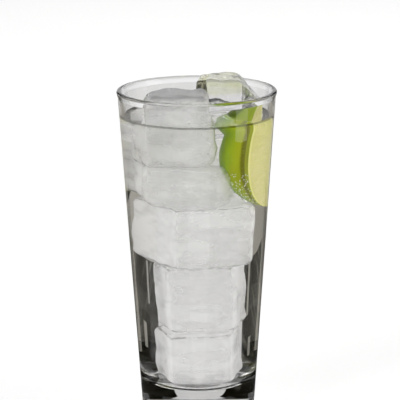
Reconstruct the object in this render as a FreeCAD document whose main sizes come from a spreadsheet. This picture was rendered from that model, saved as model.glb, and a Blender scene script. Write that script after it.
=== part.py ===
import FreeCAD, Part

import math
import os

import Sketcher

# A tall tapered tumbler of clear mixed drink with ice and a wedge of lime.
# Origin at the middle of the foot, +Z up, the drinker in front at -Y. Lengths in millimetres.

sizes = {
    # the tumbler
    "glassHeight": (160.0, "foot to the top of the rim"),
    "rimRadius": (37.9, "outside of the rounded rim"),
    "lipRound": (1.25, "radius of the rounded rim"),
    "lipDrop": (3.6, "top of the glass down to where the rim swells"),
    "wallTopRadius": (37.25, "outside of the wall just under the rim"),
    "footRadius": (26.8, "outside of the wall carried down to the table"),
    "footRound": (2.6, "round between the wall and the foot"),
    "ringRadius": (20.5, "inner edge of the ring that it stands on"),
    "puntRadius": (18.5, "flat part of the hollow underneath"),
    "puntDepth": (1.1, "depth of the hollow underneath"),
    "cavityFloor": (17.0, "inside floor at the middle"),
    "cavityEdge": (18.4, "inside floor where it meets the wall"),
    "cavityRadius": (24.7, "inside of the wall at the floor"),
    "heelRound": (7.0, "round between the inside wall and floor"),
    # the drink, cut from a cone that ends inside the glass on every side
    "drinkLevel": (147.5, "surface of the drink"),
    "blankFloor": (12.0, "underside of the cone"),
    "blankLowRadius": (25.5, "radius of the cone's underside"),
    "blankTopRadius": (35.5, "radius of the cone at the surface"),
    # the wedge of lime, turned about the lime's core
    "limeRadius": (22.5, "core of the lime to its rind"),
    "limeHalf": (25.5, "half the length of the lime"),
    "limeAngle": (73.0, "angle between the two cut faces, in degrees"),
    # the left ice cube
    "cubeWidth": (31.0, "left to right"),
    "cubeDepth": (23.2, "front to back"),
    "cubeTall": (33.0, "top to bottom"),
    "cubeRound": (3.4, "melted round of its edges"),
    # the right piece of ice, five-sided in plan, with one corner broken off
    "chunkFront": (29.5, "width of the front side"),
    "chunkWidth": (31.5, "widest place"),
    "chunkStep": (7.0, "front side to the widest place"),
    "chunkBack": (20.5, "width of the back side"),
    "chunkDepth": (21.5, "front to back"),
    "chunkTall": (25.5, "top to bottom"),
    "chunkBreak": (11.0, "size of the broken corner"),
    "chunkRound": (2.2, "melted round of its edges"),
}

# where the loose pieces lie: their own origin, turn about +Z, then lean about +Y, in degrees
limePlace = {"at": (30.3, 0.0, 129.0), "turn": 212.5, "lean": 2.5}
cubePlace = {"at": (-24.0, -22.0, 127.0), "turn": 3.0, "lean": 0.0}
chunkPlace = {"at": (-0.5, 3.4, 138.0), "turn": 0.0, "lean": 0.0}

doc = FreeCAD.newDocument("Highball")
sheet = doc.addObject("Spreadsheet::Sheet", "Sizes")
for row, (alias, (value, meaning)) in enumerate(sizes.items(), start=1):
    sheet.set(f"A{row}", meaning)
    sheet.set(f"B{row}", str(value))
    sheet.setAlias(f"B{row}", alias)
doc.recompute()


def terms(total):
    """Split a sum such as 'glassHeight - lipRound' into signed size names; '0' has none."""
    sign = 1
    for word in total.split():
        if word in "+-":
            sign = 1 if word == "+" else -1
        elif word != "0":
            yield sign, word
            sign = 1


def measure(total):
    return sum(sign * sizes[word][0] for sign, word in terms(total))


def cells(total):
    return " + ".join(f"({sign}) * {sheet.Name}.{word}" for sign, word in terms(total))


def newBody(label):
    body = doc.addObject("PartDesign::Body", label.title().replace("_", ""))
    body.Label = label
    return body


def place(body, at, turn, lean):
    upright = FreeCAD.Rotation(FreeCAD.Vector(0, 0, 1), turn)
    tipped = FreeCAD.Rotation(FreeCAD.Vector(0, 1, 0), lean)
    body.Placement = FreeCAD.Placement(FreeCAD.Vector(*at), tipped * upright)


def pin(sketch, name, point, across, up):
    """Dimension one point of a sketch from the sketch's origin; None leaves that way free."""
    for kind, axis, total in (("DistanceX", -2, across), ("DistanceY", -1, up)):
        if total is None:
            continue
        if not list(terms(total)):
            sketch.addConstraint(Sketcher.Constraint("PointOnObject", *point, axis))
            continue
        index = sketch.addConstraint(Sketcher.Constraint(kind, -1, 1, *point, measure(total)))
        sketch.renameConstraint(index, name + kind[-1])
        sketch.setExpression(f"Constraints.{name}{kind[-1]}", cells(total))


def newOutline(body, name, role, corners, arcs):
    """Sketch a closed outline on an origin plane, sides in order, arcs counter-clockwise.

    corners: name, across, up. arcs: the corner a side starts at -> its centre, across and up."""
    sketch = body.newObject("Sketcher::SketchObject", name)
    plane = next(item for item in body.Origin.OriginFeatures if item.Role == role)
    sketch.AttachmentSupport = (plane, "")
    sketch.MapMode = "FlatFace"
    points = [FreeCAD.Vector(measure(across), measure(up), 0) for _, across, up in corners]
    for side, (corner, _, _) in enumerate(corners):
        start, end = points[side], points[(side + 1) % len(points)]
        if corner not in arcs:
            sketch.addGeometry(Part.LineSegment(start, end), False)
            continue
        centre = arcCentre(start, end, *arcs[corner])
        first, last = (math.atan2(spot.y - centre.y, spot.x - centre.x) for spot in (start, end))
        circle = Part.Circle(centre, FreeCAD.Vector(0, 0, 1), (start - centre).Length)
        sketch.addGeometry(Part.ArcOfCircle(circle, first, last), False)
    for side in range(len(corners)):
        following = (side + 1) % len(corners)
        sketch.addConstraint(Sketcher.Constraint("Coincident", side, 2, following, 1))
    for side, (corner, across, up) in enumerate(corners):
        if corner in arcs:
            pin(sketch, corner + "Centre", (side, 3), *arcs[corner])
        # the far end of an arc with a fixed centre already lies on its circle
        arrived = arcs.get(corners[side - 1][0], (None, None))
        pin(sketch, corner, (side, 1), None if None not in arrived else across, up)
    doc.recompute()
    return sketch


def arcCentre(start, end, across, up):
    """Centre of an arc: given outright, or on the sketch's level axis at one distance from both ends."""
    if across is not None:
        return FreeCAD.Vector(measure(across), measure(up), 0)
    shift = (end.x**2 + end.y**2 - start.x**2 - start.y**2) / 2 / (end.x - start.x)
    return FreeCAD.Vector(shift, 0, 0)


def feature(body, kind, name, profile=None, **bound):
    """Add a feature and bind its named properties to sums of sizes."""
    item = body.newObject(kind, name)
    if profile is not None:
        item.Profile = profile
    for key, total in bound.items():
        item.setExpression(key, cells(total))
    return item


def edgeAt(shape, x, y, z):
    """Name of the edge that passes nearest a point."""
    spot = Part.Vertex(x, y, z)
    gaps = [edge.distToShape(spot)[0] for edge in shape.Edges]
    return f"Edge{gaps.index(min(gaps)) + 1}"


def roundRing(body, name, base, radius, across, up):
    """Round the circular edge of a turned body at one radius and height."""
    ring = feature(body, "PartDesign::Fillet", name, Radius=radius)
    ring.Base = (base, [edgeAt(base.Shape, 0, -measure(across), measure(up))])
    doc.recompute()
    return ring


def roundAll(body, name, base, radius):
    melt = feature(body, "PartDesign::Fillet", name, Radius=radius)
    melt.Base = (base, [""])
    melt.UseAllEdges = True
    doc.recompute()


def makeGlass():
    body = newBody("glass")
    lip = ("rimRadius - lipRound", "glassHeight - lipRound")
    corners = [
        ("underside", "0", "puntDepth"),
        ("punt", "puntRadius", "puntDepth"),
        ("ring", "ringRadius", "0"),
        ("foot", "footRadius", "0"),
        ("wallTop", "wallTopRadius", "glassHeight - lipDrop"),
        ("lipOuter", "rimRadius", "glassHeight - lipRound"),
        ("lipInner", "rimRadius - lipRound - lipRound", "glassHeight - lipRound"),
        ("cavity", "cavityRadius", "cavityEdge"),
        ("floor", "0", "cavityFloor"),
    ]
    section = newOutline(body, "GlassSection", "XZ_Plane", corners, {"lipOuter": lip})
    turned = feature(body, "PartDesign::Revolution", "GlassTurned", section)
    turned.ReferenceAxis = (section, ["V_Axis"])
    turned.Angle = 360
    doc.recompute()
    heel = roundRing(body, "GlassHeel", turned, "heelRound", "cavityRadius", "cavityEdge")
    roundRing(body, "GlassFoot", heel, "footRound", "footRadius", "0")
    return body


def makeLime():
    body = newBody("lime_wedge")
    corners = [("tipBelow", "0", "0 - limeHalf"), ("rind", "limeRadius", "0"), ("tipAbove", "0", "limeHalf")]
    level = (None, "0")
    section = newOutline(body, "LimeSection", "XZ_Plane", corners, {"tipBelow": level, "rind": level})
    turned = feature(body, "PartDesign::Revolution", "LimeTurned", section, Angle="limeAngle")
    turned.ReferenceAxis = (section, ["V_Axis"])
    turned.Midplane = True
    doc.recompute()
    place(body, **limePlace)
    return body


def makeCube():
    body = newBody("ice_left")
    corners = [
        ("nearLeft", "0", "0"),
        ("nearRight", "cubeWidth", "0"),
        ("farRight", "cubeWidth", "cubeDepth"),
        ("farLeft", "0", "cubeDepth"),
    ]
    plan = newOutline(body, "CubePlan", "XY_Plane", corners, {})
    block = feature(body, "PartDesign::Pad", "CubeBlock", plan, Length="cubeTall")
    doc.recompute()
    roundAll(body, "CubeMelt", block, "cubeRound")
    place(body, **cubePlace)
    return body


def makeChunk():
    body = newBody("ice_right")
    corners = [
        ("nearLeft", "0", "0"),
        ("nearRight", "chunkFront", "0"),
        ("side", "chunkWidth", "chunkStep"),
        ("farRight", "chunkBack", "chunkDepth"),
        ("farLeft", "0", "chunkDepth"),
    ]
    plan = newOutline(body, "ChunkPlan", "XY_Plane", corners, {})
    block = feature(body, "PartDesign::Pad", "ChunkBlock", plan, Length="chunkTall")
    doc.recompute()
    corners = [
        ("breakTop", "chunkWidth - chunkBreak", "chunkTall"),
        ("breakSide", "chunkWidth", "chunkTall - chunkBreak"),
        ("gone", "chunkWidth", "chunkTall"),
    ]
    section = newOutline(body, "ChunkBreakSection", "XZ_Plane", corners, {})
    broken = feature(body, "PartDesign::Pocket", "ChunkBroken", section)
    broken.Type = "ThroughAll"
    broken.Midplane = True
    doc.recompute()
    assert broken.Shape.Volume < block.Shape.Volume, "the broken corner was not cut away"
    roundAll(body, "ChunkMelt", broken, "chunkRound")
    place(body, **chunkPlace)
    return body


def makeDrink(glass, pieces):
    """Fill the glass to the drink's level, cut round whatever stands in it."""
    drink = doc.addObject("Part::Cone", "DrinkBlank")
    for key, total in (
        ("Radius1", "blankLowRadius"),
        ("Radius2", "blankTopRadius"),
        ("Height", "drinkLevel - blankFloor"),
        ("Placement.Base.z", "blankFloor"),
    ):
        drink.setExpression(key, cells(total))
    for tool in (glass, *pieces):
        cut = doc.addObject("Part::Cut", "DrinkBeside" + tool.Name)
        cut.Base, cut.Tool = drink, tool
        drink = cut
    drink.Label = "drink"
    doc.recompute()
    return drink


def checkAndWrite(parts):
    doc.recompute()
    for item in doc.Objects:
        assert not {"Invalid", "Error"} & set(item.State), f"{item.Label} failed: {item.State}"
    for part in parts:
        shape = part.Shape
        assert not shape.isNull() and shape.isValid() and len(shape.Solids) == 1, part.Label
        print(f"{part.Label}: {shape.Volume / 1000:.1f} cm3")
    os.makedirs("parts", exist_ok=True)
    for part in parts:
        part.Shape.exportStep(f"parts/{part.Label}.step")


glass = makeGlass()
lime = makeLime()
cube = makeCube()
chunk = makeChunk()
drink = makeDrink(glass, [lime, cube, chunk])
checkAndWrite([glass, drink, lime, cube, chunk])
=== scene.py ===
import math

import bpy
from mathutils import Matrix, Vector, noise
from mathutils.bvhtree import BVHTree


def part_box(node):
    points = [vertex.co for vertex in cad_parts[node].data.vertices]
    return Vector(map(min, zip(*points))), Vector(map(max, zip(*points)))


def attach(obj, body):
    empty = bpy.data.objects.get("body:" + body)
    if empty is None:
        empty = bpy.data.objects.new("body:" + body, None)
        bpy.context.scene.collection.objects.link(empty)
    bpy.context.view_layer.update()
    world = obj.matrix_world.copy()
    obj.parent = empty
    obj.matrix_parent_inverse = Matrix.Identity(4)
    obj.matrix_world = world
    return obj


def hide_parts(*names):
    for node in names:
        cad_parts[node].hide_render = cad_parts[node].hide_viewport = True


# A tall glass of clear mixed drink with ice and a wedge of lime, in metres.
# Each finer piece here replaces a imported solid, is sunk in the drink or clings to the lime.

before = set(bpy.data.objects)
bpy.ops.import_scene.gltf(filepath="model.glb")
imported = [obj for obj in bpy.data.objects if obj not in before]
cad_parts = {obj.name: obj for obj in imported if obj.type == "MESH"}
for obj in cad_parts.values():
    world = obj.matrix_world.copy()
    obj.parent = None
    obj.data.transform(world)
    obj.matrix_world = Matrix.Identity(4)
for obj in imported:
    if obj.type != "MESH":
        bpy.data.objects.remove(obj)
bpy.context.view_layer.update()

glassBox, drinkBox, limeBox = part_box("glass"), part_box("drink"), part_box("lime_wedge")
rimHeight, rimRadius = glassBox[1].z, glassBox[1].x
level, levelRadius, cavityFloor = drinkBox[1].z, drinkBox[1].x, drinkBox[0].z
mm = 0.001


def softCorners(corners, steps=8, longest=3 * mm):
    # rounds the corners of an outline and divides its long sides; a corner is (radius, height, round)
    outline = [Vector(corners[0][:2])]
    for before, corner, after in zip(corners, corners[1:], corners[2:]):
        spot = Vector(corner[:2])
        back, ahead = (Vector(before[:2]) - spot).normalized(), (Vector(after[:2]) - spot).normalized()
        half = back.angle(ahead) / 2
        reach = corner[2] / math.tan(half)
        centre = spot + (back + ahead).normalized() * corner[2] / math.sin(half)
        first, last = spot + back * reach - centre, spot + ahead * reach - centre
        turn = first.angle_signed(last)
        for step in range(steps + 1):
            angle = -turn * step / steps
            arm = Vector((first.x * math.cos(angle) - first.y * math.sin(angle),
                          first.x * math.sin(angle) + first.y * math.cos(angle)))
            divide(outline, centre + arm, longest)
    divide(outline, Vector(corners[-1][:2]), longest)
    return outline


def divide(outline, target, longest):
    start = outline[-1]
    parts = max(1, math.ceil((target - start).length / longest))
    outline += [start.lerp(target, part / parts) for part in range(1, parts + 1)]


def turnedMesh(name, outline, sides=192):
    # a closed solid of revolution; the outline runs from the axis below, up the outside, back to the axis
    rings = outline[1:-1]
    verts = [Vector((0, 0, outline[0].y)), Vector((0, 0, outline[-1].y))]
    for spot in rings:
        for side in range(sides):
            angle = 2 * math.pi * side / sides
            verts.append(Vector((spot.x * math.cos(angle), spot.x * math.sin(angle), spot.y)))
    faces = []
    for side in range(sides):
        following = (side + 1) % sides
        faces.append((0, 2 + following, 2 + side))
        top = 2 + (len(rings) - 1) * sides
        faces.append((1, top + side, top + following))
        for ring in range(len(rings) - 1):
            low = 2 + ring * sides
            faces.append((low + side, low + following, low + sides + following, low + sides + side))
    return newMesh(name, verts, faces)


def newMesh(name, verts, faces):
    mesh = bpy.data.meshes.new(name)
    mesh.from_pydata(verts, [], faces)
    mesh.shade_smooth()
    mesh.update()
    return mesh


def newPiece(name, mesh, materials, slot, *replaced):
    piece = bpy.data.objects.new(name, mesh)
    bpy.context.scene.collection.objects.link(piece)
    for material in materials:
        mesh.materials.append(material)
    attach(piece, "root")
    if replaced:
        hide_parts(*replaced)
    return piece


class Value:
    # a socket's value in a finish, so that plain expressions build the Math nodes
    def __init__(self, finish, socket):
        self.finish, self.socket = finish, socket

    def math(self, operation, *others):
        return self.finish.add("ShaderNodeMath", {"operation": operation}, dict(enumerate((self, *others))))

    def __add__(self, other):
        return self.math("ADD", other)

    def __sub__(self, other):
        return self.math("SUBTRACT", other)

    def __rsub__(self, other):
        return self.finish.add("ShaderNodeMath", {"operation": "SUBTRACT"}, {0: other, 1: self})

    def __mul__(self, other):
        return self.math("MULTIPLY", other)

    __radd__ = __add__


class Finish:
    # the nodes of a material or of the world
    def __init__(self, name, kept="materials"):
        self.owner = getattr(bpy.data, kept).new(name)
        self.owner.use_nodes = True
        self.tree = self.owner.node_tree
        self.tree.nodes.clear()

    def add(self, kind, settings=None, sockets=None, output=0):
        # settings go first, then each socket gets a value or a link; the named output comes back
        node = self.tree.nodes.new(kind)
        for key, setting in (settings or {}).items():
            setattr(node, key, setting)
        for key, given in (sockets or {}).items():
            if isinstance(given, Value):
                self.tree.links.new(given.socket, node.inputs[key])
            else:
                node.inputs[key].default_value = given
        return Value(self, node.outputs[output]) if node.outputs else node

    def mix(self, factor, first, second):
        given = {"Factor": factor, "A": first, "B": second}
        node = self.tree.nodes.new("ShaderNodeMix")
        node.data_type = "RGBA"
        for key, colour in given.items():
            socket = next(item for item in node.inputs if item.name == key and item.enabled)
            if isinstance(colour, Value):
                self.tree.links.new(colour.socket, socket)
            else:
                socket.default_value = colour if key == "Factor" else (*colour, 1.0)
        return Value(self, next(item for item in node.outputs if item.enabled))

    def noise(self, scale, detail=3.0, rough=0.5, vector=None):
        given = {"Vector": vector or self.place(), "Scale": scale, "Detail": detail, "Roughness": rough}
        return self.add("ShaderNodeTexNoise", None, given)

    def place(self):
        return self.add("ShaderNodeTexCoord", output="Object")

    def height(self):
        return self.add("ShaderNodeSeparateXYZ", None, {"Vector": self.place()}, "Z")

    def seenBy(self, *kinds):
        return sum(self.add("ShaderNodeLightPath", output=f"Is {kind} Ray") for kind in kinds)

    def step(self, value, low, high):
        # 0 below low, 1 above high, smooth between
        return self.add("ShaderNodeMapRange", {"interpolation_type": "SMOOTHSTEP"},
                        {"Value": value, "From Min": low, "From Max": high})

    def bump(self, height, strength, distance):
        given = {"Height": height, "Strength": strength, "Distance": distance}
        return self.add("ShaderNodeBump", None, given)

    def attribute(self, name):
        return self.add("ShaderNodeAttribute", {"attribute_name": name}, output="Fac")

    def surface(self, sockets):
        return self.add("ShaderNodeBsdfPrincipled", None, sockets)

    def blend(self, factor, first, second):
        return self.add("ShaderNodeMixShader", None, {0: factor, 1: first, 2: second})

    def done(self, shader, inside=None):
        given = {"Surface": shader, "Volume": inside} if inside else {"Surface": shader}
        self.add("ShaderNodeOutputMaterial", None, given)
        return self.owner


tumbler = {
    "lipRound": 1.24 * mm,
    "lipDrop": 3.6 * mm,
    "lipInside": 1.6 * mm,
    "wallTop": 37.25 * mm,
    "footRadius": 26.8 * mm,
    "footRound": 2.6 * mm,
    "ringRadius": 20.5 * mm,
    "puntRadius": 18.5 * mm,
    "puntDepth": 1.1 * mm,
    "cavityRadius": 24.7 * mm,
    "cavityEdge": 1.4 * mm,
    "heelRound": 7.0 * mm,
    "overlap": 0.2 * mm,  # how far the drink reaches into the wall
}


def clearGlass():
    finish = Finish("clear_glass")
    smudge = finish.noise(35.0, 4.0)
    ripple = finish.noise(60.0, 1.0)
    roughness = finish.step(smudge, 0.52, 0.8) * 0.035
    return finish.done(finish.surface({
        "Base Color": (0.998, 0.998, 0.998, 1.0),
        "Roughness": roughness,
        "IOR": 1.5,
        "Transmission Weight": 1.0,
        "Normal": finish.bump(ripple, 0.25, 0.25 * mm),
    }))


def makeTumbler():
    size = tumbler
    inner = rimRadius - 2 * size["lipRound"]
    lip = size["lipRound"] * 0.98  # a little less, so that the two rounds don't meet in one point
    corners = [
        (0, size["puntDepth"], 0),
        (size["puntRadius"], size["puntDepth"], 1.0 * mm),
        (size["ringRadius"], 0, 0.8 * mm),
        (size["footRadius"], 0, size["footRound"]),
        (size["wallTop"], rimHeight - size["lipDrop"], 2.0 * mm),
        (rimRadius, rimHeight - size["lipRound"], 0.5 * mm),
        (rimRadius, rimHeight, lip),
        (inner, rimHeight, lip),
        (inner, rimHeight - size["lipInside"], 0.2 * mm),
        (size["cavityRadius"], cavityFloor + size["cavityEdge"], size["heelRound"]),
        (0, cavityFloor, 0),
    ]
    mesh = turnedMesh("tumbler", softCorners(corners))
    return newPiece("tumbler", mesh, [clearGlass()], "glass", "glass")


makeTumbler()
print("tumbler made")


melting = {
    "longWave": 11 * mm,
    "shortWave": 3.6 * mm,
    "shortShare": 0.28,
    "edgePower": 8,  # how closely the marks keep to the edges
}


def meltedCube(half, rounding, dents, seed, grid=26):
    # a box with melted edges and shallow dents, round its own middle; with each vertex goes how near it is to
    # a level edge and how near to a flank
    keys, verts, faces, marks = {}, [], [], []
    shift = Vector((seed * 7.31, seed * 3.17, seed * 5.93))
    for axis in range(3):
        for sign in (-1, 1):
            rows = []
            for i in range(grid + 1):
                row = []
                for j in range(grid + 1):
                    spot = [0.0, 0.0, 0.0]
                    spot[axis] = sign
                    spot[(axis + 1) % 3] = math.sin((i / grid - 0.5) * math.pi)
                    spot[(axis + 2) % 3] = math.sin((j / grid - 0.5) * math.pi)
                    key = tuple(round(c, 5) for c in spot)
                    if key not in keys:
                        keys[key] = len(verts)
                        outer = Vector(c * h for c, h in zip(spot, half))
                        core = Vector(max(-h + rounding, min(h - rounding, c)) for c, h in zip(outer, half))
                        out = (outer - core).normalized()
                        sure = core + out * rounding
                        wave = noise.noise((sure + shift * mm * 9) / melting["longWave"])
                        fine = noise.noise((sure + shift * mm * 5) / melting["shortWave"])
                        verts.append(sure + out * (wave + fine * melting["shortShare"]) * dents)
                        across, deep, up = (abs(c) ** melting["edgePower"] for c in spot)
                        marks.append((up * max(across, deep), across))
                    row.append(keys[key])
                rows.append(row)
            for i in range(grid):
                for j in range(grid):
                    ring = (rows[i][j], rows[i + 1][j], rows[i + 1][j + 1], rows[i][j + 1])
                    faces.append(ring if sign > 0 else ring[::-1])
    return verts, faces, marks


def markedMesh(name, verts, faces, marks):
    mesh = newMesh(name, verts, faces)
    for key, values in zip(("edge", "flank"), zip(*marks)):
        mesh.attributes.new(key, "FLOAT", "POINT").data.foreach_set("value", values)
    return mesh


iceLooks = {
    "milkDeep": (0.60, 0.595, 0.595),
    "milkPale": (0.84, 0.835, 0.83),
    # paler colour for the flanks of cloudy ice, painted light
    "flank": (0.93, 0.925, 0.92),
    # painted shade for ice standing out of the drink
    "shadeTop": (0.30, 0.30, 0.30),
    # dark lines, partly cracks along the veins and partly painted contact shade along the level edges where
    # cubes meet
    "crackAndShade": (0.20, 0.20, 0.19),
    "haze": (0.895, 0.888, 0.886),
    # whiter haze, painted light for the ice high in the glass
    "paintedLightHaze": (1.0, 0.99, 0.975),
    "hazeDensity": 36.0,
    "clear": (0.91, 0.905, 0.925),
    "paintedLimeReflection": (0.76, 0.78, 0.53),  # the lime's colour painted on the top of the clearer piece, a painted reflection
    "chipPale": (0.8, 0.81, 0.81),
    # near black for painted dark refractions in the clearer piece
    "paintedDarkRefraction": (0.05, 0.05, 0.045),
    "airBending": 1.31,
    "drinkBending": 1.015,  # ice in the drink bends light hardly at all
}


def cloudyIce(name, bending, haze, litFlankShare=1.0, crackAndShadeShare=1.0, shadeAbove=1.0):
    # ice hazy inside; what stands above the given height is greyer, a painted shade; the flanks get painted
    # light and the level edges painted contact shade
    finish = Finish(name)
    # painted shade: what stands above the given height turns grey and more opaque
    top = finish.step(finish.height(), shadeAbove, shadeAbove + 3 * mm)
    edge = finish.attribute("edge")
    veins = finish.noise(160.0, 5.0, 0.6)
    layered = finish.add("ShaderNodeMapping", None, {"Vector": finish.place(), "Scale": (1.0, 1.0, 2.6)})
    soft = finish.noise(46.0, 3.0, 0.5, layered)
    cloud = finish.step(soft + veins * 0.35 - edge * 0.25, 0.35, 0.75)
    # painted light: the flanks are paler and more opaque, as if lit from the sides
    flank = finish.attribute("flank") * litFlankShare
    # partly cracks, partly painted contact shade along the level edges
    crackAndShade = finish.step(edge * 0.5 + veins, 0.84, 0.94) * crackAndShadeShare
    relief = finish.noise(260.0, 3.0) * 0.5 + finish.noise(90.0, 2.0)
    normal = finish.bump(relief, 0.35, 0.5 * mm)
    milk = finish.mix(finish.step(soft, 0.35, 0.65), iceLooks["milkDeep"], iceLooks["milkPale"])
    milk = finish.mix(flank * 0.7, milk, iceLooks["flank"])
    milk = finish.mix(top, milk, iceLooks["shadeTop"])
    white = finish.surface({
        "Base Color": finish.mix(crackAndShade, milk, iceLooks["crackAndShade"]),
        "Roughness": 0.45,
        "IOR": iceLooks["airBending"],
        "Normal": normal,
    })
    clear = finish.surface({
        "Base Color": (0.998, 0.997, 0.997, 1.0),
        "Roughness": 0.1,
        "IOR": bending,
        "Specular Tint": (0.3, 0.3, 0.3, 1.0),  # wet ice reflects less than dry ice
        "Transmission Weight": 1.0,
        "Normal": normal,
    })
    inside = finish.add("ShaderNodeVolumeScatter", None, {
        "Color": (*haze, 1.0), "Density": iceLooks["hazeDensity"], "Anisotropy": 0.3})
    whiteness = cloud * 0.28 + flank * 0.2 + crackAndShade * 0.3 + top * 0.5 + 0.05
    return finish.done(finish.blend(whiteness, clear, white), inside)


def clearIce():
    # clear, with painted dark refractions on its sides and a painted reflection of the lime near its top
    finish = Finish("clear_ice")
    veins = finish.noise(210.0, 5.0, 0.65)
    soft = finish.noise(70.0, 2.0)
    patchNoise = finish.noise(430.0, 4.0, 0.6)
    relief = finish.noise(180.0, 3.0) * 0.6 + soft
    normal = finish.bump(relief, 0.5, 0.8 * mm)
    # painted reflection of the lime on what stands above the rim
    glow = finish.step(finish.height() + soft * 8 * mm, rimHeight, rimHeight + 2.5 * mm)
    # painted dark refractions: near-black patches towards the flanks and level edges
    broken = finish.attribute("flank") * 0.45 + finish.attribute("edge") * 0.2
    darkPatch = finish.step(broken + patchNoise, 0.98, 1.06)
    white = finish.surface({
        "Base Color": finish.mix(darkPatch, iceLooks["chipPale"], iceLooks["paintedDarkRefraction"]),
        "Roughness": 0.4,
        "IOR": iceLooks["airBending"],
        "Transmission Weight": 0.3,
        "Normal": normal,
    })
    clear = finish.surface({
        "Base Color": finish.mix(glow, iceLooks["clear"], iceLooks["paintedLimeReflection"]),
        "Roughness": 0.03,
        "IOR": iceLooks["airBending"],
        "Transmission Weight": 1.0,
        "Normal": normal,
    })
    cloud = finish.step(veins * 0.6 + soft * 0.5, 0.5, 0.85) * 0.4
    return finish.done(finish.blend(cloud + darkPatch * 0.55, clear, white))


iceCubes = {
    # name: half sizes, middle, turn about +Z, lean about +X and +Y, rounding, in mm and degrees
    "ice_sunk_upper": ((17.0, 12.5, 9.5), (-4.5, -10.0, 117.0), -10, 4, 3, 5.5),
    "ice_sunk_behind": ((15.5, 11.0, 15.0), (-3.0, 15.0, 122.0), -8, -2, 2, 5.0),
    "ice_sunk_bit": ((8.5, 9.0, 6.0), (-17.0, 12.0, 140.0), 12, 0, 0, 3.0),
    "ice_sunk_wide": ((18.0, 18.0, 15.2), (0.5, -0.5, 93.2), 20, 1, 1, 4.0),
    "ice_sunk_middle": ((14.0, 14.0, 16.4), (1.0, -0.5, 61.6), 2, -1, -2, 3.4),
    "ice_sunk_low": ((13.4, 13.5, 12.8), (0.6, -1.0, 31.8), 3, 1, -2, 3.4),
}
sunkDents = 1.1
litFrom = 100.0  # cubes in the upper drink are paler, a painted light
leftCube = {
    "half": (15.5, 11.6),
    "turn": 3.0,
    "rounding": 5.0,
    "dents": 1.8,
    "seed": 11,
    # height above which the left cube gets painted shade
    "shadeAbove": level + 9 * mm,
}
shard = {
    "rounding": 2.4 * mm,
    "dents": 1.0 * mm,
    "seed": 21,
    "grid": 34,
    "topBreak": 11 * mm,  # how far the sloping break reaches in from the top corner
    "sideBreak": 7 * mm,
    "sideFacing": (14.5, 9.5, 0),
    "flankTurn": math.radians(15),
    "wave": 6 * mm,
    "waveHeight": 0.35 * mm,
}


def placeCube(middle, turn, lean, tip):
    return (Matrix.Translation(Vector(middle) * mm)
            @ Matrix.Rotation(math.radians(tip), 4, "Y")
            @ Matrix.Rotation(math.radians(lean), 4, "X")
            @ Matrix.Rotation(math.radians(turn), 4, "Z"))


def iceMesh(name, half, move, rounding, dents, seed):
    verts, faces, marks = meltedCube([h * mm for h in half], rounding * mm, dents * mm, seed)
    return markedMesh(name, [move @ v for v in verts], faces, marks)


def makeIce():
    sunk = cloudyIce("sunk_ice", iceLooks["drinkBending"], iceLooks["haze"])
    # a lit copy of the sunk ice, with paler haze and less painted shade: painted light for the upper cubes
    litIce = cloudyIce("sunk_ice_lit", iceLooks["drinkBending"], iceLooks["paintedLightHaze"], 0.6, 0.3)
    for seed, (name, (half, middle, *turns, rounding)) in enumerate(iceCubes.items(), start=1):
        mesh = iceMesh(name, half, placeCube(middle, *turns), rounding, sunkDents, seed)
        newPiece(name, mesh, [litIce if middle[2] > litFrom else sunk], "ice")
    return makeLeftCube(), makeShard()


def makeLeftCube():
    low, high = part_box("ice_left")
    half = (*leftCube["half"], (high.z - low.z) / 2 / mm)
    move = Matrix.Translation((low + high) / 2) @ Matrix.Rotation(math.radians(leftCube["turn"]), 4, "Z")
    mesh = iceMesh("ice_left_melted", half, move, leftCube["rounding"], leftCube["dents"], leftCube["seed"])
    melted = cloudyIce("melted_ice", iceLooks["airBending"], iceLooks["paintedLightHaze"], 0.15, 0.3,
                       leftCube["shadeAbove"])
    return newPiece("ice_left_melted", mesh, [melted], "ice", "ice_left")


def makeShard():
    # the clearer piece, a box with its top corner, its outer side and its left flank broken away
    low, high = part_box("ice_right")
    half = (high - low) / 2
    middle = (low + high) / 2
    verts, faces, marks = meltedCube(half, shard["rounding"], shard["dents"], shard["seed"], shard["grid"])
    turn = shard["flankTurn"]
    breaks = [(Vector(facing).normalized(), Vector(through)) for facing, through in (
        ((1, 0, 1), (half.x - shard["topBreak"], 0, half.z)),
        (shard["sideFacing"], (half.x, shard["sideBreak"] - half.y, 0)),
        ((-math.cos(turn), math.sin(turn), 0), (-half.x, -half.y, 0)))]
    for index, spot in enumerate(verts):
        for facing, through in breaks:
            spot -= facing * max(0.0, (spot - through).dot(facing))
        spot += spot.normalized() * noise.noise(spot / shard["wave"]) * shard["waveHeight"]
        verts[index] = spot + middle
    mesh = markedMesh("ice_right_clear", verts, faces, marks)
    return newPiece("ice_right_clear", mesh, [clearIce()], "ice", "ice_right")


iceLeft, iceRight = makeIce()
print("ice made")


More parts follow.
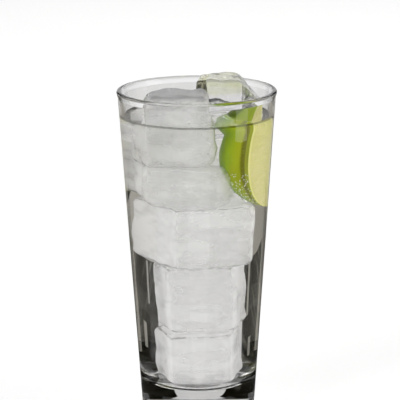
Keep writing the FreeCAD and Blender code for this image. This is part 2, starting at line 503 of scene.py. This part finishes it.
lime = {
    "radius": 22.5 * mm,
    "angle": 73.0,
    "turn": 212.5,
    "lean": 2.5,
    "core": Vector((30.3, 0.0, 129.0)) * mm,
    "fullness": 2.2,
    "rindStep": 0.93,  # where the flesh ends, as a part of the way from the core to the rind
    "stations": 110,
    "faceSteps": 44,
    "rindSteps": 56,
    "sacWide": 5 * mm,
    "sacTall": 1.5 * mm,
    "swell": 0.18 * mm,  # how far the cut flesh stands out, and how much that varies
    "swellChange": 0.22 * mm,
    "ripple": 0.12 * mm,
    "rippleTall": 4 * mm,
    "mapWide": 4.2 * mm,
}
limeLooks = {
    "greenDeep": (0.15, 0.31, 0.005),
    "greenPale": (0.30, 0.44, 0.008),
    "blotch": (0.38, 0.38, 0.01),
    "turning": (0.41, 0.42, 0.01),  # towards the right cut
    "streak": (0.12, 0.11, 0.006),
    # painted dark reflection on the rind above the drink, its deep and pale ends
    "rindShadeDeep": (0.05, 0.085, 0.002),
    "rindShadePale": (0.27, 0.37, 0.003),
    "pore": (0.36, 0.46, 0.02),
    "sacEdge": (0.84, 0.78, 0.38),
    "sac": (0.78, 0.75, 0.31),
    "sacPatch": (0.70, 0.69, 0.18),
    "pith": (0.90, 0.88, 0.34),
    "core": (0.85, 0.84, 0.55),
    "skin": (0.45, 0.5, 0.03),
}


def limeRind():
    # green with pores, yellower and streaked towards the right cut, darker above the drink, a painted dark
    # reflection
    finish = Finish("lime_rind")
    tone = finish.noise(42.0, 3.0)
    blotch = finish.noise(95.0, 2.0)
    around = finish.attribute("around")
    glands = finish.add("ShaderNodeTexVoronoi", {"feature": "F1"},
                        {"Vector": finish.place(), "Scale": 780.0}, "Distance")
    green = finish.mix(finish.step(tone, 0.36, 0.64), limeLooks["greenDeep"], limeLooks["greenPale"])
    green = finish.mix(finish.step(blotch, 0.5, 0.75) * 0.5, green, limeLooks["blotch"])
    green = finish.mix(finish.step(around, 0.5, 0.8) * 0.7, green, limeLooks["turning"])
    wavy = around + tone * 0.1
    streak = finish.step(wavy, 0.86, 0.93) * (1 - finish.step(wavy, 0.97, 1.01))
    green = finish.mix(streak * 0.75, green, limeLooks["streak"])
    # painted dark reflection: the rind above the drink is darker, deepest away from the right cut
    rindShade = finish.mix(finish.step(around, 0.45, 0.7), limeLooks["rindShadeDeep"], limeLooks["rindShadePale"])
    green = finish.mix(finish.step(finish.height(), level - mm, level + mm) * 0.85, green, rindShade)
    dots = finish.step(glands, 0.12, 0.4)
    return finish.done(finish.surface({
        "Base Color": finish.mix(dots * 0.6 + 0.4, limeLooks["pore"], green),
        "Roughness": 0.34,
        "Specular IOR Level": 0.15,
        "Normal": finish.bump(dots * 0.6 + tone, 0.3, 0.3 * mm),
    }))


def limeFlesh():
    # juice sacs inside a pale pith, with the rind's edge outside it
    finish = Finish("lime_flesh")
    across = finish.attribute("across")
    place = finish.add("ShaderNodeUVMap", {"uv_map": "cut"})
    cells = finish.add("ShaderNodeTexVoronoi", {"feature": "DISTANCE_TO_EDGE"},
                       {"Vector": place, "Scale": 1.0, "Randomness": 0.9}, "Distance")
    sacs = finish.step(cells, 0.0, 0.16)
    tone = finish.noise(70.0, 2.0)
    pulp = finish.mix(sacs, limeLooks["sacEdge"], limeLooks["sac"])
    pulp = finish.mix(finish.step(tone, 0.35, 0.7) * 0.5, pulp, limeLooks["sacPatch"])
    pith = finish.step(across, lime["rindStep"] - 0.05, lime["rindStep"])
    core = 1 - finish.step(across, 0.05, 0.12)
    pale = finish.mix(pith, pulp, limeLooks["pith"])
    pale = finish.mix(core * 0.8, pale, limeLooks["core"])
    skin = finish.step(across, 0.975, 0.99)
    return finish.done(finish.surface({
        "Base Color": finish.mix(skin, pale, limeLooks["skin"]),
        "Roughness": 0.25,
        "Specular IOR Level": 0.5,
        "Normal": finish.bump(sacs, 0.35, 0.4 * mm),
    }))


def limeOutline(along, half):
    # radius of the lime at a height along its core: a slender lower end and a fuller upper one
    bulge = (lime["radius"] ** 2 - half**2) / 2 / lime["radius"]
    main = bulge + math.sqrt(max(0.0, (lime["radius"] - bulge) ** 2 - along**2))
    if along > 0:
        full = lime["radius"] * (1 - (along / half) ** lime["fullness"]) ** (1 / lime["fullness"])
        main = max(main, full)
    return max(0.0, main)


def limeSection():
    # out along one cut, round the rind and back along the other; each spot is (part of the way out, angle)
    spread = math.radians(lime["angle"])
    faceSteps, rindSteps = lime["faceSteps"], lime["rindSteps"]
    section = [(step / faceSteps, -spread / 2) for step in range(faceSteps)]
    section += [(1.0, spread * (step / rindSteps - 0.5)) for step in range(rindSteps + 1)]
    return section + [(step / faceSteps, spread / 2) for step in range(faceSteps - 1, 0, -1)]


def limeSpot(out, angle, radius, height):
    outward = Vector((math.cos(angle), math.sin(angle), 0))
    spot = outward * radius * out + Vector((0, 0, height))
    if out < 1 and radius > 2 * mm:
        face = Vector((math.sin(angle), -math.cos(angle), 0)) * (1 if angle > 0 else -1)
        grain = noise.noise(Vector((out * radius / lime["sacWide"], height / lime["sacTall"], 3 * angle)))
        inFlesh = min(1.0, max(0.0, (lime["rindStep"] - out) * 12)) * min(1.0, out * 5)
        spot += face * (grain * lime["swellChange"] + lime["swell"]) * inFlesh
    if out == 1.0:
        ripple = noise.noise(Vector((angle * 9, height / lime["rippleTall"], 2.0)))
        spot += outward * ripple * lime["ripple"]
    return spot


def makeLime():
    half = (limeBox[1].z - limeBox[0].z) / 2
    spread = math.radians(lime["angle"])
    stations = lime["stations"]
    move = (Matrix.Translation(lime["core"])
            @ Matrix.Rotation(math.radians(lime["lean"]), 4, "Y")
            @ Matrix.Rotation(math.radians(lime["turn"]), 4, "Z"))
    section = limeSection()
    heights = [-math.cos(math.pi * station / stations) * half * 0.9999 for station in range(1, stations)]
    verts, faces, acrossMap, aroundMap, uvs = [], [], [], [], []
    for height in heights:
        radius = limeOutline(height, half)
        for out, angle in section:
            verts.append(move @ limeSpot(out, angle, radius, height))
            acrossMap.append(out)
            aroundMap.append(angle / spread + 0.5)
            uvs.append((out * radius / lime["mapWide"], height / lime["sacTall"]))
    count, rows = len(section), len(heights)
    below, above = len(verts), len(verts) + 1
    verts += [move @ Vector((0, 0, -half)), move @ Vector((0, 0, half))]
    acrossMap += [1.0, 1.0]
    aroundMap += [0.5, 0.5]
    uvs += [(0, 0), (0, 0)]
    for row in range(rows - 1):
        for index in range(count):
            following = (index + 1) % count
            faces.append((row * count + index, row * count + following,
                          (row + 1) * count + following, (row + 1) * count + index))
    for index in range(count):
        following = (index + 1) % count
        faces.append((below, following, index))
        faces.append((above, (rows - 1) * count + index, (rows - 1) * count + following))
    mesh = newMesh("lime_slice", verts, faces)
    for key, values in (("across", acrossMap), ("around", aroundMap)):
        mesh.attributes.new(key, "FLOAT", "POINT").data.foreach_set("value", values)
    cut = mesh.uv_layers.new(name="cut")
    for loop in mesh.loops:
        cut.data[loop.index].uv = uvs[loop.vertex_index]
    piece = newPiece("lime_slice", mesh, [limeRind(), limeFlesh()], "lime", "lime_wedge")
    for face in mesh.polygons:
        flat = any(acrossMap[v] < 1.0 for v in face.vertices)
        face.material_index = 1 if flat else 0
    return piece


bubbles = {
    "number": 420000.0,  # for each square metre
    "size": 0.36 * mm,
    "seed": 5,
    "smallest": 0.35,  # as a share of the size
    "lift": 0.1 * mm,
    "low": -21.0 * mm,  # the band of the rind they sit on, from the middle of the wedge's height
    "high": -5.0 * mm,
    "around": 0.5,  # they sit on the right half of the rind
}


def bubbleTree(finish):
    # small spheres of different sizes strewn over a surface
    group = bpy.data.node_groups.new("strewn_bubbles", "GeometryNodeTree")
    for name, way, kind in (("Surface", "INPUT", "Geometry"), ("Number", "INPUT", "Float"),
                            ("Size", "INPUT", "Float"), ("Seed", "INPUT", "Int"),
                            ("Bubbles", "OUTPUT", "Geometry")):
        group.interface.new_socket(name=name, in_out=way, socket_type=f"NodeSocket{kind}")

    def add(kind, sockets, output=0):
        node = group.nodes.new(kind)
        for key, given in sockets.items():
            if isinstance(given, bpy.types.NodeSocket):
                group.links.new(given, node.inputs[key])
            else:
                node.inputs[key].default_value = given
        return node.outputs[output] if node.outputs else node

    given = group.nodes.new("NodeGroupInput").outputs
    points = add("GeometryNodeDistributePointsOnFaces", {
        "Mesh": given["Surface"], "Density": given["Number"], "Seed": given["Seed"]})
    ball = add("GeometryNodeMeshIcoSphere", {"Radius": given["Size"], "Subdivisions": 2})
    scale = add("FunctionNodeRandomValue", {2: bubbles["smallest"], 3: 1.0, "Seed": given["Seed"]}, 1)
    strewn = add("GeometryNodeInstanceOnPoints", {"Points": points, "Instance": ball, "Scale": scale})
    whole = add("GeometryNodeRealizeInstances", {"Geometry": strewn})
    smooth = add("GeometryNodeSetShadeSmooth", {0: whole})
    done = add("GeometryNodeSetMaterial", {"Geometry": smooth, "Material": finish})
    add("NodeGroupOutput", {"Bubbles": done})
    return group


def bubbleFinish():
    finish = Finish("gas_bubbles")
    tone = finish.mix(finish.noise(900.0, 1.0), (0.72, 0.76, 0.55), (0.92, 0.93, 0.86))
    return finish.done(finish.surface({"Base Color": tone, "Roughness": 0.12, "Specular IOR Level": 0.8}))


def makeBubbles():
    mesh = limeSlice.data
    turned = mesh.attributes["around"].data
    middle = (limeBox[0].z + limeBox[1].z) / 2
    seats = [face for face in mesh.polygons if face.material_index == 0
             and bubbles["low"] < face.center.z - middle < bubbles["high"]
             and turned[face.vertices[0]].value > bubbles["around"]]
    corners = [mesh.vertices[v] for face in seats for v in face.vertices]
    verts = [corner.co + corner.normal * bubbles["lift"] for corner in corners]
    faces = [tuple(range(first, first + 4)) for first in range(0, len(verts), 4)]
    rind = bpy.data.objects.new("rind", newMesh("rind", verts, faces))
    bpy.context.scene.collection.objects.link(rind)
    finish = bubbleFinish()
    tree = bubbleTree(finish)
    strew = rind.modifiers.new("strew", "NODES")
    strew.node_group = tree
    for item in tree.interface.items_tree:
        if item.name in ("Number", "Size", "Seed"):
            strew[item.identifier] = bubbles[item.name.lower()]
    shape = bpy.data.meshes.new_from_object(rind.evaluated_get(bpy.context.evaluated_depsgraph_get()))
    rind.modifiers.remove(strew)
    bpy.data.objects.remove(rind)
    shape.name = "lime_bubbles"
    shape.materials.clear()
    newPiece("lime_bubbles", shape, [finish], "lime")


limeSlice = makeLime()
makeBubbles()
print("lime made")


drink = {
    # tone of the painted shade where the drink climbs the wall
    "shoreShadeTone": (0.25, 0.25, 0.24),
    "wallClimb": 1.1 * mm,
    "wallSpread": 1.4 * mm,
    "pieceClimb": 0.6 * mm,
    "pieceSpread": 0.8 * mm,
    "wallCurve": 1.3,
    "nearby": 12 * mm,  # how far from a piece its climb is looked for
    "rings": 110,
    "crowding": 1.5,  # rings lie closer together towards the wall
    "inset": 0.12 * mm,
    "shoreTall": 0.25 * mm,
    "shoreWide": 1.1 * mm,
}


def clearDrink():
    # clear, with a painted dark line where it climbs the wall, a painted shade
    finish = Finish("clear_drink")
    ripple = finish.noise(40.0, 1.0)
    flat = finish.add("ShaderNodeVectorMath", {"operation": "MULTIPLY"},
                      {0: finish.place(), 1: (1.0, 1.0, 0.0)})
    away = finish.add("ShaderNodeVectorMath", {"operation": "LENGTH"}, {0: flat}, "Value")
    climbed = finish.step(finish.height(), level, level + drink["shoreTall"])
    # painted shade: a dark ring where the drink climbs the wall
    shore = climbed * finish.step(away, levelRadius - drink["shoreWide"], levelRadius)
    return finish.done(finish.surface({
        "Base Color": finish.mix(shore, (0.998, 0.998, 0.998), drink["shoreShadeTone"]),
        "Roughness": 0.0,
        "IOR": 1.333,
        "Specular Tint": (0.35, 0.35, 0.35, 1.0),  # it lies against the wall, so it reflects less than in air
        "Transmission Weight": 1.0,
        "Normal": finish.bump(ripple, 0.1, 0.3 * mm),
    }))


def treeOf(*pieces):
    verts, faces = [], []
    for piece in pieces:
        start = len(verts)
        verts += [v.co.copy() for v in piece.data.vertices]
        faces += [[start + v for v in face.vertices] for face in piece.data.polygons]
    return BVHTree.FromPolygons(verts, faces)


def makeDrink():
    reach = tumbler["overlap"]
    floorEdge = cavityFloor + tumbler["cavityEdge"] - reach
    outline = softCorners([
        (0, cavityFloor - reach, 0),
        (tumbler["cavityRadius"] + reach, floorEdge, tumbler["heelRound"]),
        (levelRadius + reach, level, 0),
    ])
    edge = outline[-1].x
    outline[-1] = Vector((edge, level + drink["wallClimb"]))
    for ring in range(1, drink["rings"] + 1):
        inward = edge * (ring / drink["rings"]) ** drink["crowding"]
        outline.append(Vector((edge - inward, level)))
    mesh = turnedMesh("drink_body", outline)
    shore = treeOf(iceLeft, iceRight, limeSlice)
    for vertex in mesh.vertices:
        spot = vertex.co
        if spot.z < level - 0.01 * mm:
            continue
        fromWall = max(0.0, edge - reach - spot.xy.length)
        climb = drink["wallClimb"] * max(0.0, 1 - fromWall / drink["wallSpread"]) ** drink["wallCurve"]
        *_, distance = shore.find_nearest(Vector((spot.x, spot.y, level)), drink["nearby"])
        if distance is not None:
            climb = max(climb, drink["pieceClimb"] * math.exp(-distance / drink["pieceSpread"]))
        spot.z = level + climb
    mesh.update()
    return newPiece("drink_body", mesh, [clearDrink()], "drink", "drink")


def cutRound(piece, *cutters):
    # opens the drink where ice stands in it, a hair inside the ice so that no gap shows
    for cutter in cutters:
        copy = bpy.data.objects.new("cutter", cutter.data.copy())
        bpy.context.scene.collection.objects.link(copy)
        for vertex in copy.data.vertices:
            vertex.co -= vertex.normal * drink["inset"]
        cut = piece.modifiers.new("cut", "BOOLEAN")
        cut.operation, cut.solver, cut.object = "DIFFERENCE", "MANIFOLD", copy
        shape = bpy.data.meshes.new_from_object(piece.evaluated_get(bpy.context.evaluated_depsgraph_get()))
        piece.modifiers.remove(cut)
        piece.data = shape
        bpy.data.objects.remove(copy)


drinkBody = makeDrink()
cutRound(drinkBody, iceLeft, iceRight)
print("drink made")


studio = {
    "cameraBack": 1.0,
    "cameraRise": 0.187,
    "pitch": 13.54,
    "yaw": -0.074,
    "roll": -0.3,
    "lens": 193.95,
    "floorHalf": 4.0,
    "floorGlow": 0.30,
    "skyOnThings": 0.75,
}


def makeFloor():
    finish = Finish("studio_floor")
    seen = finish.seenBy("Camera", "Transmission")
    matte = finish.surface({"Base Color": (0.86, 0.86, 0.86, 1.0), "Roughness": 0.9})
    glow = finish.add("ShaderNodeEmission", None, {
        "Color": (1.0, 1.0, 1.0, 1.0), "Strength": seen * studio["floorGlow"]})
    half = studio["floorHalf"]
    corners = [(-half, -half, 0), (half, -half, 0), (half, half, 0), (-half, half, 0)]
    mesh = bpy.data.meshes.new("floor")
    mesh.from_pydata(corners, [], [(0, 1, 2, 3)])
    floor = bpy.data.objects.new("floor", mesh)
    mesh.materials.append(finish.done(finish.add("ShaderNodeAddShader", None, {0: matte, 1: glow})))
    bpy.context.scene.collection.objects.link(floor)


def makeWorld():
    # white where it is seen, dimmer as light on things
    sky = Finish("studio", "worlds")
    bpy.context.scene.world = sky.owner
    strength = sky.add("ShaderNodeMapRange", None, {
        "Value": sky.seenBy("Camera", "Transmission", "Glossy"),
        "To Min": studio["skyOnThings"], "To Max": 1.0}, "Result")
    back = sky.add("ShaderNodeBackground", None, {"Strength": strength})
    sky.add("ShaderNodeOutputWorld", None, {"Surface": back})


cards = {
    "layer": 0.0003,  # each card on the table lies this much above the one below
    "radius": 1.8,
    "tableTone": (0.36, 0.345, 0.30),
    "darkTone": (0.004, 0.0035, 0.002),
    "paleTone": (0.64, 0.635, 0.63),
    "farTone": (0.88, 0.875, 0.87),
    "streakTone": (0.23, 0.22, 0.18),
    "lineTone": (0.34, 0.33, 0.29),
    "stripTone": (0.8, 0.8, 0.8),
    "streaks": (  # angles, near, far
        ((-35.0, -31.0), 0.10, 0.14),
        ((-29.0, -27.0), 0.19, 0.33),
        ((32.0, 37.0), 0.12, 0.17),
        ((26.0, 27.5), 0.22, 0.33),
    ),
    "darkReach": 0.335,
    "tip": 0.041,  # how far from the axis the glass's base brings light together
    "tipGap": 0.0008,
    "start": 0.027,
    "neck": (0.0017, 0.0396, 0.047, 0.4),  # half width, near, far, share of the width near
    "nearRadius": 0.12,
    "paleReach": 0.45,
    "paleAngles": (-23.0, 19.0),
    "nearbyAngles": (-8.0, 8.0),
    "darkAngles": {"back": (-48.0, 48.0), "front": (-82.0, 82.0)},
    "boardTurn": (22.0, 68.0),  # dark boards stand round the glass between its four main views
    "boardAway": 0.72,
    "boardHeight": 0.4,
    "overHeight": 0.8,
    "overRadius": 0.75,
    "stripTurn": (111, 129),
    "stripAway": 0.12,
    "stripTop": 0.22,
    "stripFoot": 0.112,
    "stripGlow": 1.2,
}


def makeCard(name, corners, tone, glossy=True, clear=True, glow=0.0, streaky=False):
    # a card that shows only in glossy or clear things, so that their edges read against the pale room
    mesh = bpy.data.meshes.new(name)
    mesh.from_pydata(corners, [], [tuple(range(len(corners)))])
    card = bpy.data.objects.new(name, mesh)
    finish = Finish(name)
    depth = {kind: finish.add("ShaderNodeLightPath", output=f"{kind} Depth")
             for kind in ("Ray", "Glossy", "Transmission")}
    scattered = finish.step(depth["Ray"] - depth["Glossy"] - depth["Transmission"], 0.2, 0.8)
    colour = (*tone, 1.0)
    if streaky:
        along = finish.add("ShaderNodeMapping", None, {"Vector": finish.place(), "Scale": (34.0, 5.0, 1.0)})
        streaks = finish.step(finish.noise(1.0, 3.0, 0.6, along), 0.5, 0.8)
        colour = finish.mix(streaks, tone, cards["streakTone"])
    matte = finish.surface({
        "Base Color": colour,
        "Roughness": 1.0,
        "Specular IOR Level": 0.0,
        "Emission Color": (1.0, 1.0, 1.0, 1.0),
        "Emission Strength": glow,
    })
    absent = finish.add("ShaderNodeBsdfTransparent")  # for light that something has already scattered
    mesh.materials.append(finish.done(finish.blend(scattered, matte, absent)))
    bpy.context.scene.collection.objects.link(card)
    card.visible_camera = card.visible_diffuse = card.visible_shadow = card.visible_volume_scatter = False
    card.visible_glossy, card.visible_transmission = glossy, clear


def disc(radius, height, sides=48):
    angles = [2 * math.pi * side / sides for side in range(sides)]
    return [(math.cos(angle) * radius, math.sin(angle) * radius, height) for angle in angles]


def wedge(angles, near, far, height, turned):
    # a patch of the table, behind or in front, that widens from where the glass brings light together
    tip = cards["tip"]
    spots = [(math.tan(math.radians(angle)) * (away - tip), away)
             for away, turn in ((near, angles), (far, angles[::-1])) for angle in turn]
    turn = Matrix.Rotation(math.pi * turned, 4, "Z")
    return [turn @ Vector((*spot, height)) for spot in spots]


def standing(angles, away, top, foot=0.0):
    ends = [(math.sin(angle) * away, math.cos(angle) * away) for angle in angles]
    return [(*ends[0], foot), (*ends[1], foot), (*ends[1], top), (*ends[0], top)]


def makeCards():
    table, near, dark, pale, neck = (cards["layer"] * number for number in range(1, 6))
    past, short = cards["tip"] + cards["tipGap"], cards["tip"] - cards["tipGap"]
    makeCard("card_table", disc(cards["radius"], table), cards["tableTone"])
    makeCard("card_near", disc(cards["nearRadius"], near), cards["darkTone"])
    for turned, side in enumerate(("back", "front")):
        patch = wedge(cards["darkAngles"][side], past, cards["darkReach"], dark, turned)
        makeCard(f"card_dark_{side}", patch, cards["darkTone"], streaky=True)
        patch = wedge(cards["paleAngles"], past, cards["paleReach"], pale, turned)
        makeCard(f"card_pale_{side}", patch, cards["paleTone"], glossy=False)
        patch = wedge(cards["nearbyAngles"], cards["start"], short, pale, turned)
        makeCard(f"card_nearby_{side}", patch, cards["paleTone"], glossy=False)
        patch = wedge(cards["paleAngles"], cards["paleReach"], cards["radius"], pale, turned)
        makeCard(f"card_far_{side}", patch, cards["farTone"], glossy=False)
        half, first, last, share = cards["neck"]
        turn = 1 - 2 * turned
        patch = [(across * half, away * turn, neck)
                 for across, away in ((-share, first), (share, first), (1, last), (-1, last))]
        makeCard(f"card_neck_{turned}", patch, cards["paleTone"], glossy=False)
    for number, (angles, first, last) in enumerate(cards["streaks"]):
        patch = wedge(angles, first, last, pale, 0)
        makeCard(f"card_streak_{number}", patch, cards["lineTone"], glossy=False)
    for quarter in range(4):
        angles = [math.radians(turn + 90 * quarter) for turn in cards["boardTurn"]]
        makeCard(f"card_board_{quarter}", standing(angles, cards["boardAway"], cards["boardHeight"]),
                 cards["darkTone"])
    makeCard("card_over", disc(cards["overRadius"], cards["overHeight"]), cards["darkTone"])
    angles = [math.radians(turn) for turn in cards["stripTurn"]]
    makeCard("card_strip", standing(angles, cards["stripAway"], cards["stripTop"], cards["stripFoot"]),
             cards["stripTone"], clear=False, glow=cards["stripGlow"])


lamps = {
    # name: place, sides, watts; each is aimed at the middle of the glass
    "key": ((-0.9, -0.8, 1.1), (0.7, 0.7), 4.5),
    "fill": ((1.0, -0.3, 0.7), (0.5, 0.8), 2.5),
    "back": ((0.2, 1.3, 1.1), (1.2, 0.8), 4.0),
}


def makeLamp(name, place, sides, watts):
    data = bpy.data.lights.new(name, "AREA")
    data.shape, data.energy = "RECTANGLE", watts
    data.size, data.size_y = sides
    lamp = bpy.data.objects.new(name, data)
    lamp.location = place
    aim = Vector((0, 0, rimHeight / 2)) - Vector(place)
    lamp.rotation_euler = aim.to_track_quat("-Z", "Y").to_euler()
    bpy.context.scene.collection.objects.link(lamp)


def makeCamera():
    data = bpy.data.cameras.new("camera")
    data.sensor_width = 36.0
    data.lens = studio["lens"]
    camera = bpy.data.objects.new("camera", data)
    turns = ((studio["yaw"], "Z"), (90 - studio["pitch"], "X"), (studio["roll"], "Z"))
    camera.matrix_world = Matrix.Translation((0, -studio["cameraBack"], rimHeight + studio["cameraRise"]))
    for degrees, axis in turns:
        camera.matrix_world @= Matrix.Rotation(math.radians(degrees), 4, axis)
    bpy.context.scene.collection.objects.link(camera)
    bpy.context.scene.camera = camera


makeFloor()
makeWorld()
makeCamera()
makeCards()
for name, (place, sides, watts) in lamps.items():
    makeLamp(name, place, sides, watts)
print("studio made")

scene = bpy.context.scene
scene.view_settings.view_transform = "Standard"
scene.cycles.blur_glossy = 0.0  # more would lose light among the ice
scene.cycles.max_bounces = 64
scene.cycles.transmission_bounces = 64
scene.cycles.transparent_max_bounces = 16
scene.cycles.diffuse_bounces = 24
scene.cycles.glossy_bounces = 64
scene.cycles.volume_bounces = 32

print("scene made")
